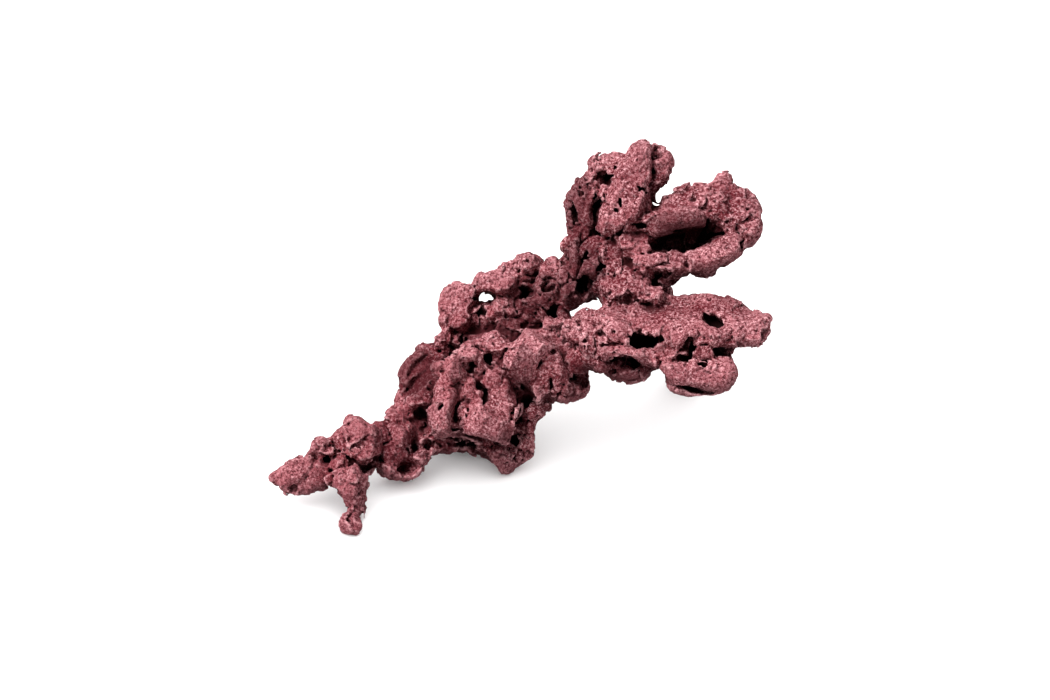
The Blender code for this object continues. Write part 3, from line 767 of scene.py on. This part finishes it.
filled = field < NEAR
inside_index = np.stack(np.nonzero(filled), axis=1)
solid_distance = {}
scratch = np.empty(field.shape, np.float32)
for name, (corners, faces) in node_triangles.items():
    own = vdb.FloatGrid.createLevelSetFromPolygons(
        corners, triangles=faces, transform=grid_scale, halfWidth=OWNER_BAND
    )
    own.copyToArray(scratch, ijk=tuple(low))
    solid_distance[name] = scratch[filled].copy()
trunk = solid_distance.pop("trunk")
along_x = (inside_index[:, 0] + low[0]) * VOXEL
solid_distance["trunk_left"] = np.maximum(trunk, along_x - TRUNK_CUTS[0])
past_cuts = np.maximum(TRUNK_CUTS[0] - along_x, along_x - TRUNK_CUTS[1])
solid_distance["trunk_middle"] = np.maximum(trunk, past_cuts)
solid_distance["trunk_right"] = np.maximum(trunk, TRUNK_CUTS[1] - along_x)
print("pieces:", ", ".join(solid_distance))

# %% [markdown]
# Sand reaches the ridges and the tops, and the finish paints light there too, and paints shade into the
# creases, the undersides and the caves. So the finish has to know what is around each spot. Blurring an
# array that holds 1 in rock and 0 in air gives the share of rock nearby: half on a flat face, less on a
# ridge, more in a hollow. Each mesh carries these shares as attributes.

# %% How open each spot is, and which way it faces
CLOSE, WIDE, FAR = 1.6, 5.5, 12.0  # how far each blur looks around, in mm
STRIDE = 2  # the wider blurs need only every other cube
UP_STEP = np.array([0, 0, 4.0])

rock = (field < 0).astype(np.float32)
close_rock = blurred(rock, CLOSE / VOXEL)
wide_rock = blurred(close_rock[::STRIDE, ::STRIDE, ::STRIDE], WIDE / VOXEL / STRIDE)
far_rock = blurred(wide_rock[::STRIDE, ::STRIDE, ::STRIDE], FAR / VOXEL / STRIDE**2)


def surroundings(corners):
    """At each corner: the share of rock at three ranges, how much more of it is below than above, the depth
    in the rock before the caves were cut, and how far inside a place of painted shade it is."""
    below, above = (sampled(wide_rock, corners + way * UP_STEP, STRIDE) for way in (-1, 1))
    return {
        "close_rock": sampled(close_rock, corners),
        "wide_rock": sampled(wide_rock, corners, STRIDE),
        "far_rock": sampled(far_rock, corners, STRIDE**2),
        "facing_up": below - above,
        "buried_mm": -sampled(uncaved_field, corners),
        "painted_shade_share": within(corners, PAINTED_SHADE_PLACES),
    }


# %% Making a mesh of each piece
def piece_field(name):
    """The skin's field, raised past the border by a slope, and cut off by a cap an overlap farther on."""
    others = [distance for other, distance in solid_distance.items() if other != name]
    beyond = (solid_distance[name] - np.minimum.reduce(others)) / 2
    own = np.maximum(field[filled] + SINK * np.maximum(beyond, 0), beyond - OVERLAP)
    scratch.fill(NEAR)
    scratch[filled] = own
    return scratch


def mesh_from_field(name):
    """Quads where the field is zero, facing outwards, with each corner's surroundings as attributes."""
    corners, quads = mesh_of(piece_field(name))
    mesh = bpy.data.meshes.new(name)
    mesh.vertices.add(len(corners))
    mesh.vertices.foreach_set("co", (corners * np.float32(MM)).ravel())
    mesh.loops.add(4 * len(quads))
    mesh.loops.foreach_set("vertex_index", quads[:, ::-1].astype(np.int32).ravel())
    mesh.polygons.add(len(quads))
    mesh.polygons.foreach_set("loop_start", np.arange(0, 4 * len(quads), 4, dtype=np.int32))
    mesh.update(calc_edges=True)
    mesh.shade_smooth()
    for label, values in surroundings(corners).items():
        mesh.attributes.new(label, "FLOAT", "POINT").data.foreach_set("value", values.astype(np.float32))
    return mesh


# %% [markdown]
# The finish is dried coralline crust, the limy skin that red algae build on a reef and leave behind when
# the rock dries out. It grows in thin, pitted layers and catches coral sand. To the eye it is chalky and
# matte, pink where sand has worn it, with pale shell grains and dark pores. Over that, light is painted on
# the tops, the rims and what stands out, and shade on the undersides, creases, hollows and caves.

# %% Colours and nodes
def linear(code):
    """An sRGB hex colour as linear red, green, blue, alpha: a power of 2.4 above a short straight start."""
    parts = [int(code[i : i + 2], 16) / 255 for i in (1, 3, 5)]
    return tuple(c / 12.92 if c <= 0.04045 else ((c + 0.055) / 1.055) ** 2.4 for c in parts) + (1,)


def add_node(tree, kind, settings=(), values=(), links=()):
    """Adds a node, sets its properties and its sockets, and links sockets to other nodes' outputs."""
    node = tree.nodes.new(kind)
    for name, value in dict(settings).items():
        setattr(node, name, value)
    for name, value in dict(values).items():
        node.inputs[name].default_value = value
    for name, output in dict(links).items():
        tree.links.new(output, node.inputs[name])
    return node


# Coral sand is 1 to 1.5 mm across, only one or two pixels here, so the grit is drawn at 2.2 mm to show.
GRIT_MM = 2.2
GRIT_RELIEF_MM = 1.1
GRAIN_MM = 3.0  # clumps of grit
PATCH_MM = 17  # patches where shell grains have stuck
BLOTCH_MM = 30  # single growths of algae
# Metres along X: from the trunk to the tail the crust gets redder, with less sand and shell on it.
REDDER_FROM, REDDEST_AT = 0.04, -0.14
# Sand, and also painted light on the tops and on what stands out.
SAND_AND_PAINTED_LIGHT = "#A0646A"  # worn and dusted with coral sand
CRUST = "#7A3037"  # the crust in light
DEEP = "#621C25"  # its redder blotches
# Painted shade: used under things, in wide hollows and in the places of painted shade.
PAINTED_SHADE_RED = "#380C12"  # the crust in shade
# The next two are painted shade: creases and hollows, and caves.
PAINTED_HOLLOW_SHADE = "#2B0709"
PAINTED_CAVE_SHADE = "#130404"
# Rubbed edges, paler also as a painted highlight.
RIM_WEAR_AND_HIGHLIGHT = "#BC868A"  # rubbed edges
SHELL = "#E8B0B5"  # grains of shell
PORE = "#2E0C10"


def dried_coralline_crust():
    """Matte stone: blotched crust, sand and painted light on top, worn rims with a painted highlight, shell
    grains, dark pores, and painted shade underneath and in creases, hollows and caves.

    Each layer is mixed over the last by a share, which rises from 0 to 1 between two values of a noise or
    of an attribute. The IOR stays at its default, and the specular level is low, as chalk hardly shines.
    """
    material = bpy.data.materials.new("dried_coralline_crust")
    material.use_nodes = True
    tree = material.node_tree
    tree.nodes.clear()
    place = add_node(tree, "ShaderNodeTexCoord").outputs["Object"]

    def painted(label):
        return add_node(tree, "ShaderNodeAttribute", {"attribute_name": label}).outputs["Fac"]

    def noisy(size_mm, detail=2.0, roughness=0.5):
        values = {"Scale": 1 / (size_mm * MM), "Detail": detail, "Roughness": roughness}
        return add_node(tree, "ShaderNodeTexNoise", values=values, links={"Vector": place}).outputs["Fac"]

    def step(value, low_end, high_end, top=1.0, bottom=0.0):
        settings = {"interpolation_type": "SMOOTHSTEP"}
        values = {"From Min": low_end, "From Max": high_end, "To Min": bottom, "To Max": top}
        return add_node(tree, "ShaderNodeMapRange", settings, values, {"Value": value}).outputs["Result"]

    def times(first, second):
        node = add_node(tree, "ShaderNodeMath", {"operation": "MULTIPLY"}, links={0: first, 1: second})
        return node.outputs[0]

    def mix(share, first, second):
        node = add_node(tree, "ShaderNodeMix", {"data_type": "RGBA"}, links={0: share})
        for socket, colour in ((6, first), (7, second)):
            if isinstance(colour, str):
                node.inputs[socket].default_value = linear(colour)
            else:
                tree.links.new(colour, node.inputs[socket])
        return node.outputs[2]

    blotch = noisy(BLOTCH_MM, 4.0)
    grain = noisy(GRAIN_MM, 2.0, 0.7)
    grit = noisy(GRIT_MM, 4.0, 0.9)
    facing_up = painted("facing_up")
    along = add_node(tree, "ShaderNodeSeparateXYZ", links={"Vector": place}).outputs["X"]
    # the crust itself, with painted shade underneath
    colour = mix(step(blotch, 0.38, 0.62), DEEP, CRUST)
    colour = mix(step(facing_up, 0.08, -0.28), colour, PAINTED_SHADE_RED)
    # sand where it can lie, and painted light: paler on the tops and on what stands out
    sandy = times(step(facing_up, 0.0, 0.45), step(blotch, 0.38, 0.6))
    sandy = times(sandy, step(along, REDDER_FROM, REDDEST_AT, 0.4, 1.0))
    colour = mix(times(sandy, step(grain, 0.3, 0.7)), colour, SAND_AND_PAINTED_LIGHT)
    colour = mix(step(painted("far_rock"), 0.4, 0.24, 0.35), colour, SAND_AND_PAINTED_LIGHT)
    # rims: worn paler, and a painted highlight on the edges
    colour = mix(step(painted("close_rock"), 0.42, 0.26, 0.7), colour, RIM_WEAR_AND_HIGHLIGHT)
    # shell grains in patches, fewer underneath as painted shade, and pores
    patches = step(noisy(PATCH_MM), 0.35, 0.6, 1.0, 0.45)
    shell_share_less_below = times(patches, step(along, REDDER_FROM, REDDEST_AT, 0.5, 1.0))
    shell_share_less_below = times(shell_share_less_below, step(facing_up, -0.3, 0.15, 1.0, 0.3))
    colour = mix(times(shell_share_less_below, step(grit, 0.5, 0.62, 0.85)), colour, SHELL)
    colour = mix(step(grain, 0.42, 0.28), colour, PORE)
    colour = mix(step(grit, 0.49, 0.38, 0.95), colour, PORE)
    # painted shade: in the places of painted shade, in creases, in wide hollows and in caves
    colour = mix(step(painted("painted_shade_share"), 0.0, 1.0, 0.62), colour, PAINTED_SHADE_RED)
    colour = mix(step(painted("close_rock"), 0.57, 0.72, 0.85), colour, PAINTED_HOLLOW_SHADE)
    colour = mix(step(painted("far_rock"), 0.42, 0.66, 0.9), colour, PAINTED_SHADE_RED)
    colour = mix(step(painted("wide_rock"), 0.56, 0.78), colour, PAINTED_HOLLOW_SHADE)
    colour = mix(step(painted("buried_mm"), 2.6, 11.0), colour, PAINTED_CAVE_SHADE)
    relief_node = add_node(
        tree,
        "ShaderNodeBump",
        values={"Strength": 1.0, "Distance": GRIT_RELIEF_MM * MM},
        links={"Height": noisy(GRIT_MM / 2, 3.0, 0.8)},
    )
    shader = add_node(
        tree,
        "ShaderNodeBsdfPrincipled",
        values={"Roughness": 0.95, "Specular IOR Level": 0.1},
        links={"Base Color": colour, "Normal": relief_node.outputs["Normal"]},
    )
    add_node(tree, "ShaderNodeOutputMaterial", links={"Surface": shader.outputs["BSDF"]})
    return material


crust = dried_coralline_crust()

# %% The pieces in place
pieces = []
triangles = 0
for name in list(solid_distance):
    mesh = mesh_from_field(name)
    mesh.materials.append(crust)
    piece = bpy.data.objects.new("rock_" + name, mesh)
    bpy.context.scene.collection.objects.link(piece)
    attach(piece, "root")
    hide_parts("trunk" if name.startswith("trunk") else name)
    pieces.append(piece)
    triangles += 2 * len(mesh.polygons)
    print(name, 2 * len(mesh.polygons), "triangles")
print("triangles in all:", triangles)

# %% [markdown]
# The set is a white sweep under soft light from above left. As in a studio, a wide lamp of its own lights
# the paper alone, so that it stays white except where the rock touches it or nearly does.

# %% Floor and light
HALF_FLOOR = 6  # metres
ROOM_GLOW = 0.15


def white_sweep():
    """A flat square floor that is large enough to fill every view."""
    mesh = bpy.data.meshes.new("floor")
    corners = [(x * HALF_FLOOR, y * HALF_FLOOR, 0) for x, y in ((-1, -1), (1, -1), (1, 1), (-1, 1))]
    mesh.from_pydata(corners, [], [(0, 1, 2, 3)])
    material = bpy.data.materials.new("white_paper")
    material.use_nodes = True
    shader = material.node_tree.nodes["Principled BSDF"]
    shader.inputs["Base Color"].default_value = linear("#FAFAFA")
    shader.inputs["Roughness"].default_value = 0.9
    mesh.materials.append(material)
    floor = bpy.data.objects.new("floor", mesh)
    bpy.context.scene.collection.objects.link(floor)
    return floor


def soft_light(name, place, width, power, lit):
    """A sun that shines from a place to the middle, some degrees wide in the sky, on some objects only."""
    lamp = bpy.data.lights.new(name, "SUN")
    lamp.angle = math.radians(width)
    lamp.energy = power
    light = bpy.data.objects.new(name, lamp)
    light.location = place
    light.rotation_euler = (-Vector(place)).to_track_quat("-Z", "Y").to_euler()
    bpy.context.scene.collection.objects.link(light)
    light.light_linking.receiver_collection = bpy.data.collections.new("lit by " + name)
    for obj in lit:
        light.light_linking.receiver_collection.objects.link(obj)


floor = white_sweep()
soft_light("overhead lamp", place=(-0.8, -0.4, 1.7), width=32, power=7.5, lit=pieces)
soft_light("paper lamp", place=(-0.2, 0, 2), width=160, power=6, lit=[floor])
world = bpy.data.worlds.new("room")
world.use_nodes = True
world.node_tree.nodes["Background"].inputs["Color"].default_value = (1, 1, 1, 1)
world.node_tree.nodes["Background"].inputs["Strength"].default_value = ROOM_GLOW
bpy.context.scene.world = world
bpy.context.scene.view_settings.view_transform = "Standard"
